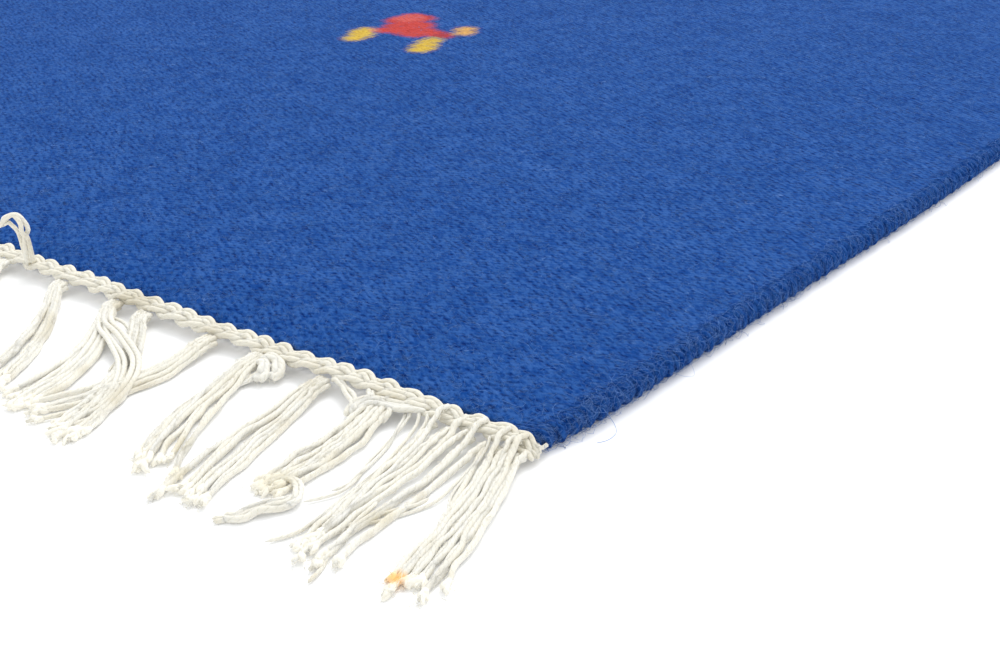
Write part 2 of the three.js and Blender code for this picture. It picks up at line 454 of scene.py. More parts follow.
@dataclass(frozen=True)
class Patch:
    """One patch of a woven figure, measured from its middle. near is the side towards its feet."""

    left: float
    right: float
    near: float
    far: float
    dye: Dye


@dataclass(frozen=True)
class Figures:
    """Four small four-legged animals, one in each quarter of the rug, with their feet towards the ends."""

    across: float = 100.0
    along: float = 250.0
    rib: float = RIB
    pick: float = 1.6
    fade: float = 2.2
    rounding: float = 4.5
    patches: tuple[Patch, ...] = (
        Patch(-13.2, -6.8, -20, -9.5, Dye.YELLOW),
        Patch(-15.6, -8.4, -15.5, -6.5, Dye.YELLOW),
        Patch(-17.5, -10.4, -12, -2.5, Dye.YELLOW),
        Patch(-13, -6.5, -6, 0.5, Dye.PEACH),
        Patch(3, 14.2, -0.3, 7.8, Dye.MADDER),
        Patch(-12, 6.5, -4.5, 9, Dye.RED),
        Patch(-14, 0.5, 0, 14.5, Dye.RED),
        Patch(-19, -6, 6, 22.5, Dye.RED),
        Patch(-18, -10, 11, 20, Dye.ORANGE),
        Patch(8.6, 15.2, -9, 0, Dye.YELLOW),
        Patch(10.4, 17.6, -14, -5, Dye.YELLOW),
        Patch(12.8, 19.8, -18.2, -9, Dye.YELLOW),
        Patch(8.2, 14.2, 11, 18.4, Dye.STRAW),
        Patch(11, 16.8, 7.4, 14.4, Dye.STRAW),
    )

    def effect(self) -> Effect:
        """The figures' colours and where they are.

        The place is folded into one quarter of the rug, then taken to the middle of the rib and the pick that
        it is on, so that a patch's edges step from warp to warp. Its corners are rounded, and its edge fades.

        Returns:
            A group with the place in millimetres in, and Colour and Mask out.
        """
        group = Effect("Small figures", {"Place": "Vector"}, {"Colour": "Color", "Mask": "Float"})
        split = group.node("ShaderNodeSeparateXYZ", {0: group.given["Place"]}).outputs
        across = group.minus(group.math("ABSOLUTE", split[0]), self.across)
        along = group.minus(self.along, group.math("ABSOLUTE", split[1]))
        across = group.math("SNAP", group.plus(across, self.rib / 2), self.rib)
        along = group.math("SNAP", group.plus(along, self.pick / 2), self.pick)
        colour: Any = Dye.RED.value
        mask: Any = 0.0
        for patch in self.patches:
            rounding = min(self.rounding, 0.45 * (patch.right - patch.left), 0.45 * (patch.far - patch.near))
            squares = []
            for value, low, high in ((across, patch.left, patch.right), (along, patch.near, patch.far)):
                off = group.math("ABSOLUTE", group.minus(value, (low + high) / 2))
                past = group.math("MAXIMUM", group.minus(off, (high - low) / 2 - rounding), 0.0)
                squares.append(group.times(past, past))
            off = group.math("SQRT", group.plus(*squares))
            inside = group.step(off, rounding + self.fade, rounding - self.fade)
            colour = group.blend(group.step(inside, 0.0, 0.25), colour, patch.dye.value)
            mask = group.math("MAXIMUM", mask, inside)
        group.put("Colour", colour)
        group.put("Mask", mask)
        return group


def hairs_effect() -> Effect:
    """Fine curled fibres that lie on a surface.

    Two soft noises each give the thin lines where they pass through their middle value, and a third breaks the
    lines into pieces.

    Returns:
        A group with the place in millimetres in, and Mask out.
    """
    group = Effect("Fine hairs", {"Place": "Vector"}, {"Mask": "Float"})
    place = group.strayed(group.given["Place"], 0.35, 2.5)
    other = group.vector("MULTIPLY", group.vector("ADD", place, (17.0, 5.0, 3.0)), (1.0, 1.6, 1.0))
    lines = []
    for spot, scale in ((place, 0.42), (other, 0.55)):
        off = group.math("ABSOLUTE", group.minus(group.noise(spot, scale, 0.0), 0.5))
        lines.append(group.step(off, 0.016, 0.0))
    broken = group.step(group.noise(group.given["Place"], 0.23, 1.0), 0.42, 0.62)
    group.put("Mask", group.times(group.math("MAXIMUM", *lines), broken))
    return group


def twist_effect() -> Effect:
    """The plies of a twisted yarn.

    Each ply is a rounded ridge that winds round the yarn: its height is the sine, without its sign, of half a
    turn for each ply, taken round the yarn and along it.

    Returns:
        A group with the yarn coordinates, the plies and the length of a turn in, and Ridge out.
    """
    group = Effect("Yarn twist", {"Yarn": "Vector", "Plies": "Float", "Turn": "Float"}, {"Ridge": "Float"})
    split = group.node("ShaderNodeSeparateXYZ", {0: group.given["Yarn"]}).outputs
    gone = group.math("DIVIDE", split[1], group.given["Turn"])
    phase = group.times(group.plus(split[0], gone), group.given["Plies"])
    group.put("Ridge", group.math("ABSOLUTE", group.math("SINE", group.times(phase, math.pi))))
    return group


@dataclass(frozen=True)
class Effects:
    """The effects that the materials share."""

    figures: Effect
    hairs: Effect
    twist: Effect


class CottonPart(Enum):
    """Where the cotton is: in a plied yarn, or a loose fibre at a frayed tip."""

    PLIED = "Plied cotton"
    LOOSE = "Loose cotton fibre"


class WoolPart(Enum):
    """Where the blue wool is: woven, turned round a selvedge, or a loose fibre."""

    WOVEN = "Woven wool"
    TURNED = "Turned wool yarn"
    LOOSE = "Loose wool fibre"


@dataclass(frozen=True)
class Wool:
    """Dyed wool, matt and slightly hairy, mottled from one batch of the dye to the next."""

    # painted shade: the dark blue laid into the weave's hollows and the ply grooves of the turned yarn
    painted_shade: Colour = (0.004, 0.028, 0.155, 1.0)
    body: Colour = (0.0165, 0.068, 0.265, 1.0)
    light: Colour = (0.031, 0.094, 0.322, 1.0)
    hair: Colour = (0.150, 0.280, 0.600, 1.0)
    pale: Colour = (0.050, 0.210, 0.560, 1.0)
    speck: Colour = (0.27, 0.63, 0.81, 1.0)
    figure_speck: Colour = (0.45, 0.20, 0.16, 1.0)
    fibre_slant: float = 0.6
    roughness: float = 0.95
    specular: float = 0.02
    sheen: float = 0.06
    sheen_roughness: float = 0.3
    sheen_tint: Colour = (0.60, 0.70, 1.0, 1.0)
    rib: float = RIB
    pick: float = 0.8
    relief: float = 0.42
    plies: float = 2.0
    turn: float = 5.0

    def material(self, part: WoolPart, effects: Effects) -> bpy.types.Material:
        """The wool's material for one of its parts.

        Args:
            part: where the wool is.
            effects: the shared effects.

        Returns:
            The material.
        """
        bench = Finish(part.value, Roughness=self.roughness, Specular_IOR_Level=self.specular,
                       Sheen_Weight=self.sheen, Sheen_Roughness=self.sheen_roughness,
                       Sheen_Tint=self.sheen_tint)
        place = bench.place
        mottle = bench.step(bench.noise(place, 0.11, 3.0, 0.6), 0.30, 0.72)
        colour = bench.blend(mottle, self.body, self.light)
        figures = bench.use(effects.figures, Place=bench.strayed(bench.strayed(place, 0.3, 1.8), 1.4, 1.6))
        if part is WoolPart.LOOSE:
            colour = bench.blend(bench.tone(), colour, self.hair)
        elif part is WoolPart.TURNED:
            ridge = bench.ridge(effects.twist, self.plies, self.turn)
            grain = bench.noise(place, 2.2, 2.0)
            shade = bench.times(bench.step(ridge, -0.3, 0.6), bench.step(grain, 0.22, 0.50))
            # painted shade in the grooves between the plies; the grain adds random darker patches of the
            # yarn's own
            colour = bench.blend(shade, self.painted_shade, bench.blend(bench.tone(), colour, self.body))
            colour = self.speckled(bench, colour)
            height = bench.plus(bench.times(ridge, 0.5), bench.times(grain, 0.5))
        else:
            height, hollow_shade_share = self.weave(bench)
            # painted shade: the low parts of the weave are darkened, as though shaded
            colour = self.speckled(bench, bench.blend(hollow_shade_share, colour, self.painted_shade))
        patchy = bench.step(bench.noise(place, 0.9, 3.0, 0.6), 0.35, 0.60)
        dye = figures.outputs["Colour"]
        dye = bench.blend(patchy, bench.blend(0.35, dye, self.figure_speck, "MULTIPLY"), dye)
        colour = bench.blend(figures.outputs["Mask"], colour, dye)
        if part is WoolPart.LOOSE:
            return bench.done(colour)
        hairs = bench.use(effects.hairs, Place=place).outputs["Mask"]
        colour = bench.blend(bench.times(hairs, 0.40), colour, self.hair)
        return bench.done(colour, bench.plus(height, bench.times(hairs, 0.25)), self.relief)

    def along_fibres(self, bench: Finish, factors: Point) -> Socket:
        """The place turned so that its first axis lies along the fibres, which slant across the picks.

        Args:
            bench: the material in the making.
            factors: one for each axis; a small one gives long marks that way.

        Returns:
            The turned place.
        """
        given = {"Vector": bench.place, "Angle": self.fibre_slant}
        slanted = bench.node("ShaderNodeVectorRotate", given, rotation_type="Z_AXIS").outputs[0]
        return bench.vector("MULTIPLY", slanted, factors)

    def speckled(self, bench: Finish, colour: Socket) -> Socket:
        """The fine light and dark specks of carded wool.

        Args:
            bench: the material in the making.
            colour: the wool's colour.

        Returns:
            The colour with the specks.
        """
        specks = bench.noise(self.along_fibres(bench, (0.65, 1.25, 1.0)), 0.78, 3.0, 0.65)
        dark = bench.blend(1.0, colour, self.speck, "MULTIPLY")
        return bench.blend(bench.step(specks, 0.36, 0.62), dark, bench.blend(0.12, colour, self.pale))

    def weave(self, bench: Finish) -> tuple[Socket, Socket]:
        """The weave's height, and the painted shade of its hollows.

        The weft covers the warp: over each warp rib every second pick lies on top, and over the next rib the
        ones between. So the height is the product of a cosine across the ribs and one along them, on a place
        that strays a little, with soft noise on it.

        Args:
            bench: the material in the making.

        Returns:
            The height, and the share of painted shade in the hollows.
        """
        strayed = bench.strayed(bench.strayed(bench.place, 0.12, 2.2), 0.55, 1.1)
        split = bench.node("ShaderNodeSeparateXYZ", {0: strayed}).outputs
        ribs = bench.math("COSINE", bench.times(split[0], math.pi / self.rib))
        picks = bench.math("COSINE", bench.times(split[1], math.pi / self.pick))
        grains = bench.math("MULTIPLY_ADD", bench.times(ribs, picks), 0.5, 0.5)
        streaks = bench.noise(self.along_fibres(bench, (0.36, 1.2, 0.8)), 1.0, 3.0, 0.6)
        fluff = bench.noise(bench.place, 1.3, 3.0, 0.65)
        height = bench.plus(bench.times(grains, 0.34), bench.times(streaks, 0.9))
        height = bench.math("MULTIPLY_ADD", fluff, 0.35, height)
        return height, bench.step(height, 0.80, 0.56)


@dataclass(frozen=True)
class Cotton:
    """Undyed plied cotton warp, cream, with painted shade in its grooves, faint tan spots and an orange stain
    at a tip.

    A spot is its place and its reach.
    """

    body: Colour = (0.825, 0.805, 0.735, 1.0)
    warm: Colour = (0.780, 0.742, 0.635, 1.0)
    # painted shade: the grey laid into the grooves between the plies, where shade falls
    groove_shade: Colour = (0.60, 0.57, 0.47, 1.0)
    stain: Colour = (0.92, 0.50, 0.14, 1.0)
    stain_at: Point = (303.9, -492.0, 1.0)
    stain_reach: float = 2.5
    soil: Colour = (0.62, 0.57, 0.45, 1.0)
    tan: Colour = (0.60, 0.54, 0.38, 1.0)
    tan_share: float = 0.55
    tan_spots: tuple[tuple[Point, float], ...] = (
        ((271.8, -463.1, 8.0), 5.0), ((272.5, -471.0, 4.0), 2.0), ((270.0, -482.5, 2.0), 2.5),
        ((291.0, -480.5, 3.0), 2.5), ((244.1, -460.5, 7.0), 2.0), ((248.0, -483.5, 2.0), 2.0),
        ((255.5, -490.5, 1.5), 1.5))
    roughness: float = 0.85
    specular: float = 0.15
    sheen: float = 0.15
    # painted light: the loose fibres at the frayed tips glow faintly, standing in for light passing through
    # them
    glow: Colour = (0.95, 0.93, 0.85, 1.0)
    glow_strength: float = 0.14
    through: float = 0.35
    depth: float = 0.9
    plies: float = 3.0
    turn: float = 4.4
    relief: float = 0.12

    def material(self, part: CottonPart, effects: Effects) -> bpy.types.Material:
        """The cotton's material; a plied yarn has its twist along the yarn coordinates.

        Args:
            part: where the cotton is.
            effects: the shared effects.

        Returns:
            The material.
        """
        loose = part is CottonPart.LOOSE
        bench = Finish(part.value, Roughness=self.roughness, Specular_IOR_Level=self.specular,
                       Sheen_Weight=self.sheen, Subsurface_Weight=0.0 if loose else self.through,
                       Subsurface_Radius=(1.0, 0.95, 0.85), Subsurface_Scale=self.depth * MM,
                       Emission_Color=self.glow, Emission_Strength=self.glow_strength if loose else 0.0)
        fluff = bench.noise(bench.place, 2.4, 3.0, 0.6)
        if loose:
            colour = bench.blend(bench.step(fluff, 0.3, 0.7), self.warm, self.body)
            return bench.done(self.stained(bench, self.spotted(bench, colour)))
        ridge = bench.ridge(effects.twist, self.plies, self.turn)
        hairs = bench.use(effects.hairs, Place=bench.scaled(bench.place, 1.8)).outputs["Mask"]
        soiled = bench.step(bench.noise(bench.place, 0.085, 2.0), 0.50, 0.78)
        colour = bench.blend(soiled, bench.blend(bench.tone(), self.body, self.warm), self.soil)
        # painted shade in the grooves between the plies, broken up by soft noise
        groove_shade_share = bench.times(bench.step(ridge, 0.45, 0.0), bench.step(fluff, 0.60, 0.35))
        colour = bench.blend(bench.times(groove_shade_share, 0.7), colour, self.groove_shade)
        colour = bench.blend(bench.times(hairs, 0.30), self.spotted(bench, colour), self.body)
        return bench.done(self.stained(bench, colour), bench.plus(bench.times(ridge, 0.6), fluff), self.relief)

    def spotted(self, bench: Finish, colour: Socket) -> Socket:
        """The faint tan spots, each a soft ball with a ragged edge.

        Args:
            bench: the material in the making.
            colour: the cotton's colour.

        Returns:
            The colour with the spots.
        """
        ragged = bench.times(bench.noise(bench.place, 0.6, 3.0), 3.0)
        for spot, reach in self.tan_spots:
            share = bench.step(bench.plus(bench.away(bench.place, spot), ragged), reach + 4.0, reach + 0.5)
            colour = bench.blend(bench.times(share, self.tan_share), colour, self.tan)
        return colour

    def stained(self, bench: Finish, colour: Socket) -> Socket:
        """The orange stain, soft at its edge.

        Args:
            bench: the material in the making.
            colour: the cotton's colour.

        Returns:
            The colour with the stain.
        """
        ragged = bench.times(bench.noise(bench.place, 0.8, 2.0), 2.4)
        edge = bench.plus(bench.away(bench.place, self.stain_at), ragged)
        share = bench.step(edge, self.stain_reach + 1.6, self.stain_reach - 1.0)
        return bench.blend(share, colour, self.stain)


# The cloth


@dataclass
class Cloth:
    """The woven cloth with a corded selvedge down each side, one closed sheet lying flat.

    Its ends are beaten flat by a share (sink), drawn in (draw) and cut back below the plaits (undercut).
    end_steps are distances from an end, where the sections lie closer together.
    """

    width: float = 600.0
    length: float = 900.0
    thickness: float = 4.6
    end_rounding: float = 1.1
    unevenness: float = 0.2
    edge_wander: float = 0.8
    corner_pull: float = 3.0
    cord_width: float = 4.4
    cord_height: float = 5.0
    turn_depth: float = 0.35
    sink: float = 0.30
    draw: float = 2.4
    sink_reach: float = 11.0
    undercut: float = 3.2
    end_steps: tuple[float, ...] = (0, 0.5, 1.1, 2.0, 3.5, 5.5, 8.5, 12, 16, 21, 27, 34, 42, 51)
    middle_steps: int = 125
    top_points: int = 61
    floor_points: int = 25

    def edge(self, along: Array, side: int) -> Array:
        """How far the selvedge lies from the middle line.

        It strays by two sine waves that fade towards the ends, where the first picks draw it in.

        Args:
            along: the places along the warp.
            side: 1 or -1.

        Returns:
            The distance at each place.
        """
        half = self.length / 2
        fade = 1 - (along / half) ** 4
        strays = np.sin(along / 62 + side) * 0.6 + np.sin(along / 23 + 2 * side) * 0.4
        pull = np.exp(-(half - np.abs(along)) / 9)
        return self.width / 2 + self.edge_wander * strays * fade - self.corner_pull * pull

    def top(self, across: Array, along: Array) -> Array:
        """The height of the field's top, softly uneven and dropping at the woven ends.

        Args:
            across: the places along the weft.
            along: the places along the warp.

        Returns:
            The height at each place.
        """
        soft = self.unevenness * np.sin(across / 41 + np.sin(along / 67)) * np.cos(along / 53)
        drop = self.end_rounding * np.exp(-(self.length / 2 - np.abs(along)) / 2.0)
        return self.thickness + soft - drop

    def end_share(self, along: Array) -> Array:
        """How near a place is to a woven end: 1 at the end and next to nothing past twice the reach."""
        off = np.maximum(self.length / 2 - np.abs(along), 0) / self.sink_reach
        return np.exp(-(off**1.6))

    def sunk(self, height: Array, along: Array) -> Array:
        """A height with the sinking of the woven ends, where the first picks are beaten flat."""
        return height * (1 - self.sink * self.end_share(along))

    def drawn(self, along: Array) -> Array:
        """A place along the warp, drawn in at the woven ends by the plaits."""
        return along - np.sign(along) * self.draw * self.end_share(along)

    def side_profile(self) -> tuple[Array, Array]:
        """The selvedge's section: an arc round the cord, with a little of the field and the way to the floor.

        Returns:
            The distances from the edge and the heights, from the field down to the floor.
        """
        angle = np.radians(np.linspace(95, -62, 17))
        wide, tall = self.cord_width / 2, self.cord_height / 2
        out = wide - (wide - self.turn_depth) * np.cos(angle)
        rise = tall + (tall - self.turn_depth) * np.sin(angle)
        out = np.concatenate([self.cord_width * np.array([1.8, 1.35, 1.0]), out, [0.72 * self.cord_width]])
        return out, np.concatenate([self.thickness - np.array([0, 0.15, 0]), rise, [0.0]])

    def surface(self) -> Surface:
        """The whole cloth, its section carried along the warp.

        The section runs across the top, down the one selvedge, back along the floor and up the other one.

        Returns:
            The closed surface.
        """
        half = self.length / 2
        near = np.array(self.end_steps)
        middle = np.linspace(-half + 60, half - 60, self.middle_steps)
        y = np.concatenate([-half + near, middle, half - near[::-1]])[:, None]
        out, rise = self.side_profile()
        left, right = self.edge(y, -1), self.edge(y, 1)
        centre, reach = (right - left) / 2, (right + left) / 2 - out[0]
        top_x = centre + np.sin(np.linspace(-math.pi / 2, math.pi / 2, self.top_points)) * reach
        top_z = self.top(top_x, y)
        floor_x = centre + np.linspace(1, -1, self.floor_points) * reach
        share = np.where(rise > 3, np.clip(out / out[0], 0, 1), 0)
        right_z, left_z = (rise + (top_z[:, [end]] - self.thickness) * share for end in (-1, 0))
        x = np.concatenate([top_x[:, :-1], right - out, floor_x, (out - left)[:, ::-1]], axis=1)[:, :-1]
        z = np.concatenate([top_z[:, :-1], right_z, np.zeros_like(floor_x), left_z[:, ::-1]], axis=1)[:, :-1]
        z = self.sunk(np.maximum(z, 0), y)
        cut = np.exp(-(half - np.abs(y)) / 2.5) * (1 - z / self.thickness)
        points = stacked(x, self.drawn(y) - np.sign(y) * self.undercut * cut, z).reshape(-1, 3)
        ring = np.arange(x.shape[1])[None]
        faces = [walls(*x.shape), ring[:, ::-1], len(points) - len(ring[0]) + ring]
        return Surface(points, faces, [np.zeros((*f.shape, 2)) for f in faces], np.zeros(len(points)))


@dataclass
class WeftTurns:
    """The weft yarn where it turns round the outer warps of a selvedge.

    buried_in and buried_at are the distances from the edge and the heights of a turn's last two points, in the
    field. The turns bulge in lumps, as the weft was packed.
    """

    cloth: Cloth
    rng: Chance
    radius: float = 0.66
    pitch: float = 1.3
    near_length: float = 330.0
    slant: float = 1.0
    lump_pitch: float = 3.7
    lump: float = 0.32
    buried_in: tuple[float, float] = (4.6, 6.6)
    buried_at: tuple[float, float] = (3.9, 3.5)

    def surface(self) -> Surface:
        """All the turns of both selvedges.

        Returns:
            The arcs as one surface, with more faces on the part by the camera.
        """
        half = self.cloth.length / 2
        places = np.arange(-half + 0.9, half - 0.5, self.pitch)
        near = places < -half + self.near_length
        right = [self.arcs(places[near], 1, 14, 7), self.arcs(places[~near], 1, 8, 4)]
        return joined([*right, self.arcs(places, -1, 8, 4)])

    def arcs(self, places: Array, side: int, steps: int, sides: int) -> Surface:
        """Arcs of yarn round the cord, one at each place.

        Each goes from under the cloth round the outside of the cord, over its top and down into the field,
        with a small slant along the warp.

        Args:
            places: where the turns are along the warp.
            side: 1 or -1.
            steps: the rings of an arc.
            sides: the points of a ring.

        Returns:
            The arcs as one surface.
        """
        cloth, column = self.cloth, (len(places), 1)
        angle = np.radians(np.linspace(-88, 112, steps - 2))
        wide = cloth.cord_width / 2 - self.radius + 0.14
        tall = cloth.cord_height / 2 - self.radius + 0.06
        inset = np.concatenate([cloth.cord_width / 2 - wide * np.cos(angle), self.buried_in])
        rise = np.concatenate([cloth.cord_height / 2 + tall * np.sin(angle), self.buried_at])
        y = places[:, None] + self.rng.normal(0, 0.16, column) + np.linspace(self.slant, -self.slant, steps)
        bulge = self.lump * np.sin(TURN * places / self.lump_pitch + 1.3 * np.sin(places / 7.3))[:, None]
        x = side * (cloth.edge(y, side) + bulge + self.rng.normal(0, 0.08, column) - inset)
        z = cloth.sunk(rise + self.rng.normal(0, 0.06, y.shape), y)
        z = np.maximum(z, self.radius + 0.3 * self.lump)
        y = cloth.drawn(np.clip(y, -cloth.length / 2, cloth.length / 2))
        thick = (self.radius + 0.4 * bulge) * self.rng.uniform(0.88, 1.0, column)
        return tubes(stacked(x, y, z), thick, sides, self.rng.uniform(0, 1, len(places)))


@dataclass
class Fuzz:
    """Loose wool fibres: short curled ones all over the field and longer ones along the selvedges."""

    cloth: Cloth
    rng: Chance
    thickness: float = 0.026
    steps: int = 4
    corner_count: int = 6500
    field_count: int = 1000
    near_count: int = 2100
    edge_count: int = 500
    hair_points: tuple[Point, ...] = (
        (300.9, -433.7, 4.4), (302.0, -433.3, 3.0), (302.8, -432.6, 1.2), (303.7, -433.5, 0.3),
        (303.8, -436.1, 0.1), (302.9, -438.2, 0.1))

    def fibres(self, paths: Array, low: float, high: float) -> Surface:
        """Fibres along paths, with chance tones between low and high."""
        thick = self.thickness * self.rng.uniform(0.7, 1.2, (len(paths), 1))
        return tubes(paths, thick, 3, self.rng.uniform(low, high, len(paths)))

    def on_field(self) -> Surface:
        """All the fibres on the field."""
        return joined([self.lying(self.corner_count, True), self.lying(self.field_count, False)])

    def on_edges(self) -> Surface:
        """All the fibres along the selvedges, and the long hair."""
        near = [self.standing(self.near_count, 1, True), self.long_hair()]
        return joined(near + [self.standing(self.edge_count, side, False) for side in (1, -1)])

    def lying(self, count: int, corner: bool) -> Surface:
        """Fibres that lie curled on the field.

        Args:
            count: how many.
            corner: whether they crowd towards the near corner or lie evenly.

        Returns:
            The fibres as one surface.
        """
        column = (count, 1)
        if corner:
            x = 299 - 250 * self.rng.random(column) ** 1.5
            y = -449.5 + 330 * self.rng.random(column) ** 1.5
        else:
            x = self.rng.uniform(-297, 297, column)
            y = self.rng.uniform(-449, 449, column)
        heading = self.rng.uniform(0, TURN, column)
        way = np.linspace(-0.5, 0.5, self.steps)
        stride = self.rng.uniform(1.6, 4.6, column) * way
        angle = heading + self.rng.normal(0, 2.2, column) * way
        x = x + stride * np.cos(angle)
        y = np.clip(y + stride * np.sin(angle), -449.6, 449.6)
        lift = np.abs(self.rng.normal(0.22, 0.22, column)) * np.cos(way * math.pi) - 0.02
        z = self.cloth.sunk(self.cloth.top(x, y), y) + lift
        return self.fibres(stacked(x, self.cloth.drawn(y), z)[np.abs(x).max(1) < 298.5], 0.1, 0.9)

    def standing(self, count: int, side: int, near: bool) -> Surface:
        """Fibres that stand off a selvedge and curl back to it.

        Args:
            count: how many.
            side: 1 or -1.
            near: whether they crowd towards the near corner.

        Returns:
            The fibres as one surface.
        """
        cloth, column = self.cloth, (count, 1)
        y = -449 + 420 * self.rng.random(column) ** 1.4 if near else self.rng.uniform(-449, 449, column)
        start = np.radians(self.rng.uniform(-65, 110, column))
        sweep = np.radians(self.rng.uniform(-70, 70, column))
        slide = self.rng.normal(0, 2.4, column)
        way = np.linspace(0, 1, self.steps + (2 if near else 1))
        angle = start + sweep * way
        stand = self.rng.exponential(0.55, column).clip(0.1, 3.0)
        off = stand * np.sin(way * math.pi * self.rng.uniform(0.5, 1.0, column))
        wide, tall = cloth.cord_width / 2 + 0.15 + off, cloth.cord_height / 2 + off
        y = np.clip(y + slide * way + 0.5 * np.sin(way * 7 + start), -450, 450)
        x = side * (cloth.edge(y, side) - cloth.cord_width / 2 + wide * np.cos(angle))
        z = np.maximum(cloth.sunk(cloth.cord_height / 2 + tall * np.sin(angle), y), 0.04)
        return self.fibres(stacked(x, cloth.drawn(y), z), 0.3, 1.0)

    def long_hair(self) -> Surface:
        """The one long hair that hangs over the selvedge by the near corner."""
        path = smooth_paths(np.array([self.hair_points], float), 30)
        return tubes(path, 1.5 * self.thickness, 4, np.array([0.9]))


# The fringed ends


@dataclass
class Heading:
    """The plait of warp ends along the cloth's end, a flat one of three strands with two yarns each.

    A swell is a place where it rides higher or lower: the distance from the corner, the rise and the width.
    """

    rng: Chance
    middle_y: float = -449.35
    middle_z: float = 2.86
    turn: float = 15.78
    half_width: float = 1.06
    half_height: float = 0.52
    lean: float = 0.22
    yarn: float = 0.60
    pair: float = 0.50
    roll: float = 0.12
    end: float = 299.1
    warp: float = 0.42
    bend_length: float = 5.0
    bend_away: float = 1.2
    bend_down: float = 1.5
    swells: tuple[Point, ...] = ((41.0, 0.5, 12.0), (18.0, -0.4, 5.0), (115.0, 0.3, 18.0))

    def surface(self, fine: bool) -> Surface:
        """The plait at the near end.

        Each strand goes from side to side by a cosine, less a little of the cosine of three times its angle,
        so that it lingers at the sides, and over and under the others by a sine of twice its angle, a third of
        a turn behind the one before. Its two yarns lie side by side, square to its way. The plait leans, so
        that its cloth side is the higher one, and bends down and away from the cloth at its ends.

        Args:
            fine: whether the part by the corner gets close steps.

        Returns:
            The six yarns and the warp ends as one surface.
        """
        if fine:
            x = np.concatenate([np.arange(-self.end, 130, 1.1), np.arange(130, self.end, 0.45), [self.end]])
        else:
            x = np.linspace(-self.end, self.end, 430)
        past = np.clip((np.abs(x) - self.end + self.bend_length) / self.bend_length, 0, 1) ** 1.6
        raised = -self.bend_down * past
        for inset, rise, wide in self.swells:
            raised = raised + rise * np.exp(-(((self.end - x - inset) / wide) ** 2))
        paths = []
        for strand in range(3):
            slip = 0.24 * np.sin(x / 9.1 + 2 * strand) + 0.16 * np.sin(x / 23.0 + 1)
            angle = TURN * (x / self.turn + strand / 3) + slip
            fat = (1 + 0.10 * np.sin(x / 6.3 + 2 * strand)) * (1 - 0.35 * past)
            across = self.half_width * fat * (np.cos(angle) - 0.15 * np.cos(3 * angle))
            up = self.half_height * fat * np.sin(2 * angle)
            slope = np.gradient(across, x)
            for side in (-1, 1):
                apart = side * self.pair * (1 + 0.15 * np.sin(x / 4.7 + strand)) / np.sqrt(1 + slope**2)
                y = across + apart
                z = up + self.lean * y + side * self.roll * np.cos(angle + 0.6) + raised
                y = self.middle_y + y - self.bend_away * past
                paths.append(stacked(x - apart * slope, y, self.middle_z + z))
        count, steps = len(paths), len(x)
        paths = np.array(paths) + 0.09 * wander(self.rng, count, steps, (61, 97, 151))
        taper = np.clip((self.end + 0.5 - np.abs(x)) / 1.2, 0.45, 1)
        thick = self.yarn * taper * (1 + 0.10 * wander(self.rng, count, steps, (47, 89, 173))[..., 0])
        plait = tubes(paths, thick, 8 if fine else 6, self.rng.uniform(0.6, 1.0, count))
        return joined([plait, self.warp_ends()])

    def warp_ends(self) -> Surface:
        """The short warp yarns, one from each rib, that run from the cloth's end into the plait.

        Returns:
            The yarns as one surface.
        """
        x = np.arange(-298.4, 298.5, RIB)[:, None]
        x = x + self.rng.normal(0, 0.5, x.shape) * np.array([0.0, 0.3, 0.7, 1.0])
        y = np.broadcast_to([-446.6, -447.9, -448.7, self.middle_y], x.shape)
        z = np.array([1.7, 1.8, 2.2, self.middle_z - 0.2]) + self.rng.normal(0, 0.12, x.shape)
        return tubes(stacked(x, y, z), self.warp, 5, self.rng.uniform(0.2, 0.7, len(x)))


@dataclass(frozen=True)
class Bundle:
    """A fringe bundle.

    root, middle and tip are distances from the corner towards the middle of the end. swell is how much wider
    the bundle is half-way, and over says whether some yarns come out over the plait.
    """

    root: float
    middle: float
    tip: float
    reach: float
    gather: float
    spread: float
    yarns: int
    swell: float = 0.0
    over: bool = False


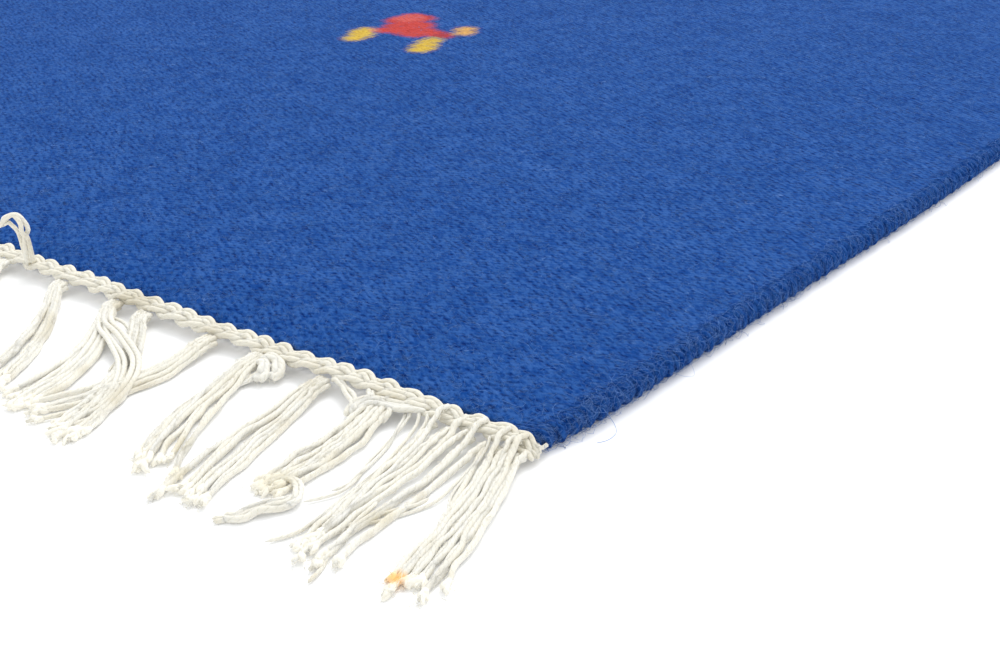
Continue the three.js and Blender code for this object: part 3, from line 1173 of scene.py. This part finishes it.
@dataclass
class Fringe:
    """The loose bundles of warp ends that hang out of a heading and lie on the floor."""

    rng: Chance
    corner: float = 300.0
    heading_edge: float = -455.1
    landing: float = 5.2
    settling: float = 9.0
    yarn: float = 0.59
    ply: float = 0.48
    over_rise: float = 2.4
    pitch: float = 15.7
    plain_count: int = 29
    first_plain: float = 157.0
    bundles: tuple[Bundle, ...] = (
        Bundle(3.6, -2, -7.0, 37.5, 2.7, 3.5, 10, over=True),
        Bundle(15, 13.8, 11, 40, 5.6, 4.2, 9, over=True),
        Bundle(32.3, 30.6, 29.9, 29.5, 1.9, 2.0, 9, 1.3),
        Bundle(47, 44.2, 38.3, 40, 1.2, 3.2, 9, 0.8),
        Bundle(63.5, 59.5, 50, 37.5, 1.5, 4.6, 10, 0.4),
        Bundle(77, 77.2, 83, 35, 1.3, 3.0, 7, 0.5),
        Bundle(96, 79.5, 71.5, 38, 1.5, 3.8, 10, 0.5),
        Bundle(105, 92.5, 88, 35, 1.4, 3.4, 8, 0.5),
        Bundle(122, 108, 99.5, 31, 1.4, 3.4, 9, 0.6),
        Bundle(142, 128.5, 117, 35, 1.4, 3.4, 8, 0.6),
    )

    def plain(self) -> tuple[Bundle, ...]:
        """The bundles beyond the corner ones.

        Returns:
            The bundles, evenly apart, with lean, reach and spread changing by sine waves.
        """
        found = []
        for i in range(self.plain_count):
            root = self.first_plain + self.pitch * i
            lean = 8 + 3 * math.sin(1.7 * i)
            middle = root - 0.45 * lean + math.sin(2.3 * i)
            reach = 40 + 2.5 * math.sin(3.1 * i)
            spread = 3.6 + 0.4 * math.sin(1.1 * i)
            found.append(Bundle(root, middle, root - lean, reach, 1.5, spread, 8 + i % 2, 0.5))
        return tuple(found)

    def yarn_paths(self, bundles: tuple[Bundle, ...], steps: int) -> Array:
        """The paths of all the yarns of some bundles.

        Across the rug a yarn follows its bundle's parabola through root, middle and tip, at its own place
        beside it, and changes that place a little on the way. It leaves the heading half-way up, or for one
        yarn in three over its top, comes down to the floor and lies there in one of two layers.

        Args:
            bundles: the bundles.
            steps: the points of a path.

        Returns:
            The paths, as yarn, step and coordinate.
        """
        rows = []
        for b in bundles:
            places = np.linspace(-1, 1, b.yarns)
            ends = np.clip(places + self.rng.normal(0, 0.42, b.yarns), -1.2, 1.2)
            for number, (place, end) in enumerate(zip(places, ends)):
                own = (place, end, number % 2, b.over and number % 3 == 1)
                rows.append((b.root, b.middle, b.tip, b.reach, b.gather, b.spread, b.swell, *own))
        columns = np.array(rows, float).T[:, :, None]
        root, middle, tip, reach, gather, spread, swell, place, end, layer, over = columns
        reach = reach + self.rng.normal(0, 1.6, reach.shape)
        fall = np.array([-1.8, 0.6, 2.6, self.landing]) - over * np.array([1.7, 1.5, 0.9, 0.2])
        run = self.landing + (reach - self.landing) * np.array([0.18, 0.38, 0.58, 0.79, 1.0])
        out = np.concatenate([fall, run], axis=1)
        t = np.clip(out / reach, 0, 1)
        bend = (1 - t) * (1 - 2 * t) * root + 4 * t * (1 - t) * middle + t * (2 * t - 1) * tip
        apart = (1 - t) * place * gather + t * end * spread + 4 * t * (1 - t) * place * swell
        x = self.corner - bend + apart + self.rng.normal(0, 0.16, out.shape) * np.clip(out / 20, 0, 1)
        settled = np.clip((out - 2) / self.settling, 0, 1)
        lying = self.yarn + layer * 0.9 * (1 - 0.75 * t)
        lying = lying + self.rng.exponential(0.18, out.shape) * np.clip(out / 12, 0, 1)
        crossing = over * self.over_rise * np.clip((2.8 - out) / 3.6, 0, 1)
        z = (1 - settled) * (2.3 + 0.9 * layer) + settled * lying + crossing
        paths = smooth_paths(drawn_back(stacked(x, self.heading_edge - out, z)), steps)
        loose = steps_of(steps) * np.array([0.50, 0.30, 0.0])
        paths = paths + loose * wander(self.rng, len(rows), steps, (1.3, 2.9, 4.7))
        paths = paths + np.array([0.14, 0.0, 0.06]) * wander(self.rng, len(rows), steps, (5.7, 8.1))
        return kept_above(paths, self.yarn * 1.1)

    def split_tips(self, paths: Array, sides: int, steps: int) -> Surface:
        """The untwisted ends of the yarns: three soft plies that curl and spread at the end of each.

        Args:
            paths: the yarns' paths.
            sides: the points of a ring.
            steps: the points of a ply.

        Returns:
            The plies as one surface.
        """
        start = np.repeat(paths[:, -3], 3, axis=0)[:, None]
        ahead = unit(np.repeat(paths[:, -1] - paths[:, -4], 3, axis=0))[:, None]
        aside = np.cross(ahead, [[[0.0, 0.0, 1.0]]])
        count = len(start)
        way = steps_of(steps)
        reach = self.rng.uniform(1.6, 3.8, (count, 1, 1))
        fan = self.rng.normal(0, 0.30, (count, 1, 1))
        plies = start + ahead * reach * way + aside * reach * fan * way**1.4
        plies = plies + 0.5 * way * wander(self.rng, count, steps, (0.6, 1.3))
        way = way[..., 0]
        taper = self.ply * (1 + 0.2 * np.sin(way * math.pi)) * np.sqrt(1.03 - way**6)
        taper = taper * self.rng.uniform(0.7, 1.2, (count, 1))
        return tubes(kept_above(plies, taper), taper, sides, self.rng.uniform(0, 0.5, count))

    def surface(self, paths: Array, sides: int) -> Surface:
        """Yarns of slightly uneven thickness, thinner at their ends.

        Args:
            paths: the yarns' paths.
            sides: the points of a ring.

        Returns:
            The yarns as one surface.
        """
        count, steps, _ = paths.shape
        thin = 1 - 0.35 * np.clip((np.linspace(0, 1, steps) - 0.9) / 0.1, 0, 1)
        thick = self.yarn * self.rng.uniform(0.80, 1.06, (count, 1)) * thin
        thick = thick * (1 + 0.14 * wander(self.rng, count, steps, (3.3, 7.7, 12.1))[..., 0])
        return tubes(paths, thick, sides, self.rng.uniform(0, 0.8, count))


@dataclass(frozen=True)
class Route:
    """A yarn by itself, or more side by side, through points from the corner: across, along and up."""

    radius: float
    points: tuple[Point, ...]
    beside: tuple[float, ...] = (0.0,)


@dataclass
class Strays:
    """The yarns by the near corner that leave their bundles, with the band, the stub and the standing loop."""

    rng: Chance
    corner: Point = (300.0, -450.0, 0.0)
    steps: int = 34
    straying: float = 0.22
    stub_tips: tuple[Point, ...] = ((242.9, -454.6, 1.7), (242.5, -457.6, 1.0), (242.0, -456.6, 1.3))
    routes: tuple[Route, ...] = (
        Route(0.52, ((-9, -4, 2.6), (-7.4, -10, 0.9), (-3.4, -19, 0.6), (-0.4, -26, 0.6), (2, -34, 0.6),
            (3.2, -41, 0.9))),
        Route(0.30, ((-26.4, -2.8, 3.6), (-25.7, -5, 2.2), (-25, -10, 0.7), (-23.5, -17, 0.5),
            (-21, -23, 0.5), (-20.3, -28, 0.5), (-22.5, -34, 0.6))),
        Route(0.3, ((-27.6, -2.8, 3.6), (-26.6, -5.5, 1.6), (-24.6, -11, 0.5), (-21.6, -21.1, 0.5),
            (-21.2, -24.5, 0.5), (-21.5, -28.4, 0.5))),
        Route(0.34, ((-24.4, -2.8, 3.6), (-23.4, -5.5, 1.8), (-21.6, -14, 0.5), (-17.9, -28.0, 0.5),
            (-16.7, -39.8, 0.5))),
        Route(0.34, ((-5.9, -22.3, 1.6), (-8.0, -26.2, 1.2), (-10.6, -30.8, 0.8), (-12.4, -36.8, 0.5),
            (-15.4, -42.4, 0.5))),
        Route(0.62, ((-24.2, -34.8, 1.2), (-23.5, -37.2, 1.3), (-25.0, -39.3, 1.4), (-26.3, -41.5, 1.2),
            (-27.3, -43.6, 0.8), (-29.3, -44.8, 0.6)), (-0.8, 0.7)),
        Route(0.46, ((-24.2, -34.8, 1.6), (-23.6, -37.2, 1.9), (-24.9, -39.3, 1.9), (-26.4, -41.6, 1.5),
            (-28.0, -44.3, 0.7), (-29.9, -46.4, 0.5)), (-0.4, 0.5)),
        Route(0.5, ((-24.4, -36.8, 1.0), (-22.6, -36.3, 1.6), (-23.2, -34.5, 1.8), (-25.5, -32.2, 1.6),
            (-28.2, -31.1, 1.4), (-29.9, -31.9, 1.0), (-30.0, -33.9, 0.6)), (-0.35, 0.45)),
        Route(0.36, ((-22.8, -2.8, 3.6), (-22, -5, 2.4), (-21, -10, 0.8), (-20, -19, 0.5), (-18, -30, 0.5),
            (-17, -40, 0.5), (-19, -46, 0.5))),
        Route(0.28, ((-9, -2.8, 3.6), (-8, -5.4, 2.4), (-7, -12, 0.8), (-5, -18, 0.5), (-1, -24, 0.5),
            (0.5, -28, 0.5))),
        Route(0.30, ((-8, -8, 1.6), (-6.8, -15, 0.7), (-6, -22, 0.5), (-9, -30, 0.5), (-10, -33, 1.0))),
        Route(0.36, ((-12, -28, 1.8), (-11, -34, 1.3), (-9, -41, 0.9), (-7.5, -45, 0.6), (-6, -50, 0.5))),
        Route(0.45, ((-45.5, -2.8, 3.4), (-43.6, -3.2, 3.9), (-41, -4.4, 3.6), (-37.4, -6.2, 3.3),
            (-35.2, -8, 2.4)), (-0.4, 0.4)),
        Route(0.62, ((-35.6, -8.2, 1.2), (-35.7, -8.0, 2.4), (-35, -7.2, 3.4), (-33.8, -6.2, 3.9),
            (-32, -5.4, 4.0), (-30, -4.8, 3.9), (-27.6, -4.2, 3.8), (-25.6, -3.2, 3.9), (-23.8, -1.8, 3.6)),
            (-1.0, 0.0, 0.9)),
        Route(0.55, ((-29.6, -7.2, 1.4), (-29.0, -6.6, 2.6), (-29.6, -5.6, 3.6), (-31.4, -5.4, 4.4),
            (-33.4, -6.4, 4.3), (-34.6, -7.8, 3.4), (-34.8, -8.4, 2.2))),
        Route(0.45, ((-36.4, -2.4, 3.4), (-35, -4.0, 4.4), (-34, -5.4, 4.5), (-33.2, -6.9, 3.9)),
            (-0.3, 0.4)),
        Route(0.45, ((-30.8, -2.4, 3.4), (-31, -4.0, 4.4), (-31.5, -5.4, 4.5), (-31.8, -6.8, 3.9))),
        Route(0.55, ((-103, -6, 3.4), (-98, -11.4, 3.8), (-90, -14.6, 3.9), (-81, -18.6, 3.1),
            (-75, -26, 2.0), (-71.5, -35, 0.9), (-72.5, -40.5, 0.7)), (-0.5, 0.6)),
        Route(0.52, ((-104, -7, 2.8), (-98, -12.8, 3.0), (-91, -16.4, 3.0), (-83, -20.4, 2.4),
            (-77, -27, 1.5), (-74.5, -34, 0.8), (-76.5, -39, 0.6)), (-0.5, 0.5)),
        Route(0.34, ((-107, -5, 2.8), (-102, -8, 2.9), (-96, -8.5, 2.6), (-91, -11, 1.6), (-88, -16, 0.8),
            (-85, -22, 0.6))),
        Route(0.75, ((-62.4, -4.6, 3.0), (-60.8, -4.4, 3.9), (-58.8, -4.4, 4.2), (-57.1, -4.9, 3.7),
            (-56.3, -6.0, 2.7), (-57.0, -7.2, 1.9)), (-0.4, 0.5)),
        Route(0.75, ((-61.6, -5.2, 3.2), (-59.8, -6.2, 3.7), (-58.4, -7.6, 2.8), (-58.6, -8.9, 1.4)),
            (-0.5, 0.45)),
        Route(0.46, ((-59.2, -5.4, 3.4), (-59, -6.8, 3.0), (-59.6, -8, 2.2), (-60.8, -9.8, 1.3),
            (-62, -13.5, 0.8)), (-0.4, 0.4)),
        Route(0.52, ((-133.9, -2.6, 3.8), (-132.7, -2.6, 9.6), (-133.1, -2.9, 13.6), (-134.6, -3.5, 15.3),
            (-136.4, -4.6, 14.4), (-137.3, -5.2, 12.4)), (-0.52, 0.52)),
        Route(0.46, ((-134.6, -3.0, 3.8), (-134.5, -3.0, 8.2), (-134.8, -3.3, 11.9), (-135.8, -4.2, 13.5),
            (-137.0, -5.0, 13.0))),
    )

    def surface(self) -> Surface:
        """All the strays, each along its smooth route and a little beside it.

        Returns:
            The yarns as one surface, each closed.
        """
        past = np.clip((np.abs(np.linspace(-1, 1, self.steps)) - 0.88) / 0.12, 0, 1)
        parts = []
        for route in self.routes:
            path = smooth_paths(drawn_back(np.array([route.points], float)), self.steps)
            aside = unit(np.cross(np.gradient(path, axis=1), [[[0.0, 0.0, 1.0]]]))
            beside = np.array(route.beside)[:, None, None]
            strayed = self.straying * wander(self.rng, len(beside), self.steps, (1.1, 2.7))
            paths = kept_above(np.array(self.corner) + path + aside * beside + strayed, route.radius)
            thick = route.radius * np.sqrt(1.02 - past**2)
            parts.append(tubes(paths, thick, 9, self.rng.uniform(0, 0.8, len(beside))))
        return joined(parts)


@dataclass
class CottonFluff:
    """The fine cotton fibres that stand out round the frayed tips and along the yarns."""

    rng: Chance
    radius: float = 0.05
    per_tip: int = 4
    reach: float = 0.9
    yarn: float = 0.56
    per_yarn: int = 44

    def along(self, paths: Array) -> Surface:
        """Short fibres that curl off the sides of yarns.

        Args:
            paths: the yarns' paths.

        Returns:
            The fibres as one surface.
        """
        count, steps, _ = paths.shape
        which = np.repeat(np.arange(count), self.per_yarn)
        count = len(which)
        where = self.rng.integers(2, steps - 2, count)
        start = paths[which, where]
        ahead = unit(paths[which, where + 1] - start)
        out = squared(self.rng.normal(0, 1, (count, 3)), ahead)
        way = steps_of(4)
        reach = self.rng.uniform(0.6, 1.6, (count, 1, 1))
        rise = self.yarn * 0.9 + self.rng.uniform(0.15, 0.45, (count, 1, 1)) * np.sin(way * math.pi)
        fibres = start[:, None] + out[:, None] * rise + ahead[:, None] * reach * (way - 0.5)
        fibres = kept_above(fibres + 0.12 * wander(self.rng, count, 4, (0.6,)), 0.05)
        return tubes(fibres, 0.8 * self.radius, 3, self.rng.uniform(0, 0.4, count))

    def surface(self, tips: Array) -> Surface:
        """Curled fibres round some tips.

        Args:
            tips: the tips' places, one a row.

        Returns:
            The fibres as one surface.
        """
        start = np.repeat(tips, self.per_tip, axis=0)
        start = start + self.rng.normal(0, 0.7, start.shape)
        count = len(start)
        ahead = self.rng.normal(0, 1, (count, 1, 3)) * np.array([1.0, 1.0, 0.45])
        way = steps_of(5)
        fibres = start[:, None] + self.reach * ahead * way + 0.5 * wander(self.rng, count, 5, (0.7, 1.3))
        fibres[..., 2] = np.maximum(np.abs(fibres[..., 2]), 0.06)
        return tubes(fibres, self.radius * (1 - 0.5 * way[..., 0]), 3, self.rng.uniform(0, 0.4, count))


# The set


def make_floor() -> None:
    """The plain white floor, a wide square with a faint unevenness in its paint."""
    mesh = bpy.data.meshes.new("floor")
    mesh.from_pydata([(-6, -6, 0), (6, -6, 0), (6, 6, 0), (-6, 6, 0)], [], [(0, 1, 2, 3)])
    paint = Finish("White floor", Roughness=0.75, Specular_IOR_Level=0.1,
                   Emission_Color=(0.98, 0.99, 1.0, 1.0), Emission_Strength=0.09)
    uneven = paint.noise(paint.place, 3.0 * MM)
    mesh.materials.append(paint.done(paint.blend(uneven, (0.90, 0.905, 0.915, 1.0), (0.92, 0.92, 0.925, 1.0))))
    added("floor", mesh)


def make_light() -> None:
    """A white surround, and one large soft light above the far left of the rug."""
    world = bpy.data.worlds.new("Studio")
    world.use_nodes = True
    surround = world.node_tree.nodes["Background"].inputs
    surround["Color"].default_value = (0.97, 0.985, 1.0, 1.0)
    surround["Strength"].default_value = 1.05
    bpy.context.scene.world = world
    lamp = bpy.data.lights.new("overhead", "AREA")
    lamp.shape = "SQUARE"
    lamp.size = 1.4
    lamp.energy = 31.0
    lamp.color = (1.0, 0.985, 0.96)
    made = added("overhead", lamp)
    made.location = (-0.2, 1.05, 1.9)
    east, north, up = np.array([0.28, -0.40, 0.0]) - np.array(made.location)
    made.rotation_euler = (math.atan2(math.hypot(east, north), -up), 0, math.atan2(-east, north))
    bpy.context.scene.view_settings.view_transform = "Standard"


def make_camera() -> None:
    """The photograph's view: close to the near corner of the cloth, from past it and a little above."""
    lens = bpy.data.cameras.new("camera")
    lens.sensor_width = 36
    lens.lens = 56.7
    lens.clip_start = 0.01
    made = added("camera", lens)
    corner, from_corner = (0.300, -0.450, 0.0046), (0.13508, -0.18712, 0.125)
    made.location = [one + other for one, other in zip(corner, from_corner)]
    made.rotation_euler = (math.radians(65.47), 0, math.radians(37.6))
    bpy.context.scene.camera = made


# The rug


@dataclass(frozen=True)
class Dress:
    """A material with the record's slot for it."""

    slot: str
    material: bpy.types.Material

    def put_on(self, form: Surface, name: str, *stands_for: str) -> bpy.types.Object:
        """Makes a piece, dresses it and puts it on the frame.

        Args:
            form: the piece's surface.
            name: its name.
            stands_for: the frame's nodes that it takes the place of.

        Returns:
            The piece.
        """
        piece = form.to_object(name)
        piece.data.materials.append(self.material)
        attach(piece, "root")
        if stands_for:
            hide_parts(*stands_for)
        NOTES.info("%s: %d triangles", name, sum(len(f) * (f.shape[1] - 2) for f in form.faces))
        return piece


def main() -> None:
    """Builds the rug and the set in order."""
    logging.basicConfig(level=logging.INFO, format="%(name)s: %(message)s")
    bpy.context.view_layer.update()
    make_camera()
    make_light()
    make_floor()

    effects = Effects(Figures().effect(), hairs_effect(), twist_effect())
    woven, turned, loose = (Dress("blue_wool", Wool().material(part, effects)) for part in WoolPart)
    plied, fibre = (Dress("natural_cotton", Cotton().material(part, effects)) for part in CottonPart)

    cloth = Cloth()
    sheet = woven.put_on(cloth.surface(), "cloth", "kilim_cloth")
    turns = WeftTurns(cloth, np.random.default_rng(11))
    pieces = [turned.put_on(turns.surface(), "selvedge_turns")]
    fuzz = Fuzz(cloth, np.random.default_rng(12))
    pieces.append(loose.put_on(fuzz.on_field(), "field_fuzz"))
    pieces.append(loose.put_on(fuzz.on_edges(), "edge_fuzz"))

    rng = np.random.default_rng(13)
    fringe, heading, strays, fluff = Fringe(rng), Heading(rng), Strays(rng), CottonFluff(rng)
    pieces.append(plied.put_on(heading.surface(fine=True), "near_plait", "fringe_front"))
    corner = fringe.yarn_paths(fringe.bundles, steps=44)
    pieces.append(plied.put_on(fringe.surface(corner, sides=10), "near_corner_fringe"))
    pieces.append(plied.put_on(strays.surface(), "stray_yarns"))
    fibres = [fluff.surface(np.concatenate([corner[:, -1], strays.stub_tips])), fluff.along(corner)]
    pieces.append(fibre.put_on(joined(fibres), "cotton_fluff"))
    near = fringe.yarn_paths(fringe.plain(), steps=18)
    pieces.append(plied.put_on(fringe.surface(near, sides=6), "near_fringe"))
    pieces.append(plied.put_on(turned_half(heading.surface(fine=False)), "far_plait", "fringe_back"))
    far = fringe.yarn_paths(fringe.bundles + fringe.plain(), steps=16)
    pieces.append(plied.put_on(turned_half(fringe.surface(far, sides=5)), "far_fringe"))
    tips = [fringe.split_tips(corner, sides=6, steps=8), fringe.split_tips(near, sides=4, steps=6)]
    tips.append(turned_half(fringe.split_tips(far, sides=4, steps=5)))
    pieces.append(fibre.put_on(joined(tips), "frayed_tips"))


if __name__ == "__main__":
    main()
